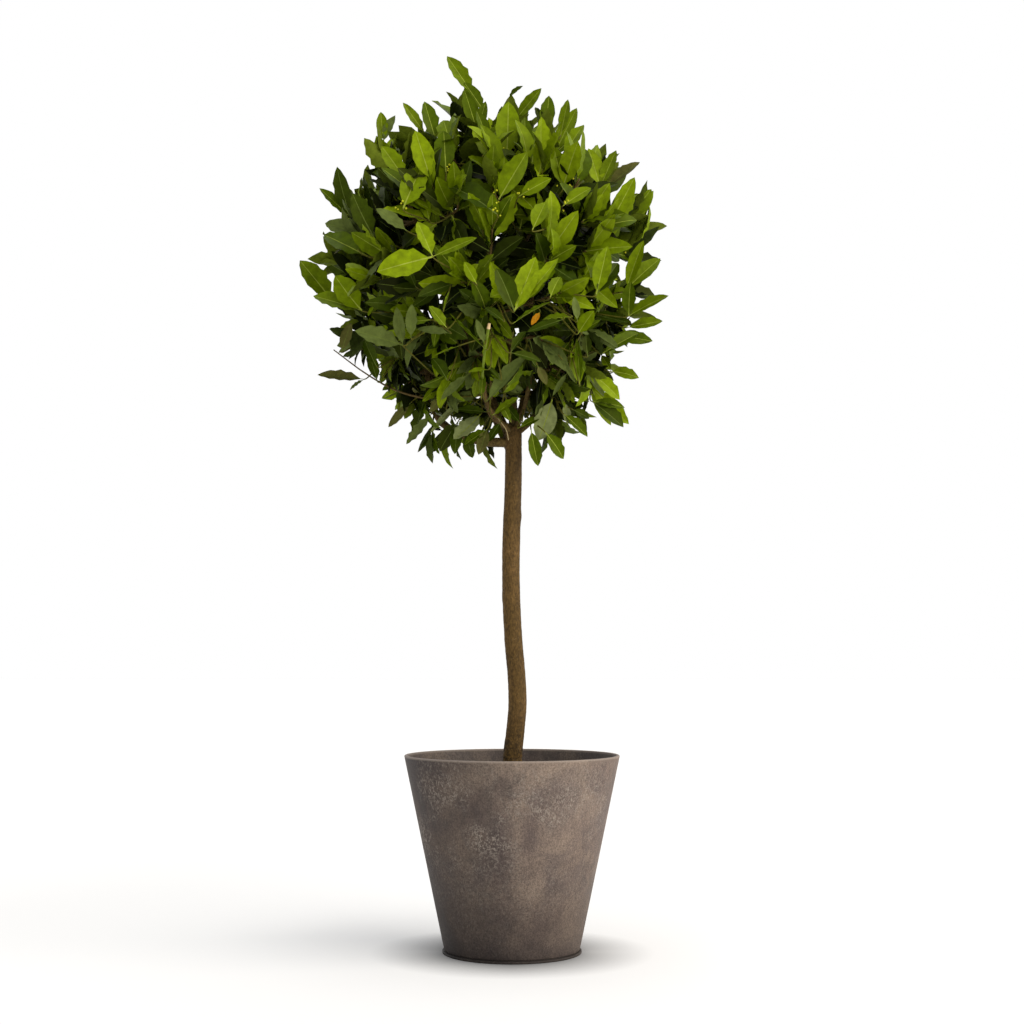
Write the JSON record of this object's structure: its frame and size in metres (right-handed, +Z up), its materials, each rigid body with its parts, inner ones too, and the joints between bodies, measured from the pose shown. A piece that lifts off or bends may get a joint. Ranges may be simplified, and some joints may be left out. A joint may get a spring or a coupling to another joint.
{
  "type": "standard bay topiary in planter",
  "caption": "Bay tree grown as a standard: a ball of evergreen leaves on a clear, gently bent trunk, planted in a round tapered planter.",
  "frame": {"origin": "centre of the pot's flat underside, on the surface that it stands on", "axes": "+Z up the trunk, +X to the right and +Y to the back as seen from the front"},
  "size_m": [0.6828, 0.6771, 1.5549],
  "materials": {
    "planter": "stone-effect composite, cloudy warm grey-brown, matt with fine pale scratches",
    "soil": "dark, crumbly potting compost",
    "bark": "thin olive-brown bark with small pale pores",
    "foliage": "leathery green leaves, slightly glossy above and paler beneath"
  },
  "bodies": {
    "root": {"pot": "planter", "soil": "soil", "trunk": "bark", "bough_top": "bark", "bough_right_back": "bark", "bough_left_back": "bark", "bough_left_front": "bark", "bough_right_front": "bark", "bough_right": "bark", "bough_back": "bark", "bough_left": "bark", "bough_front": "bark", "foliage_top": "foliage", "foliage_right_back": "foliage", "foliage_left_back": "foliage", "foliage_left_front": "foliage", "foliage_right_front": "foliage", "foliage_right": "foliage", "foliage_back": "foliage", "foliage_left": "foliage", "foliage_front": "foliage"}
  },
  "joints": []
}
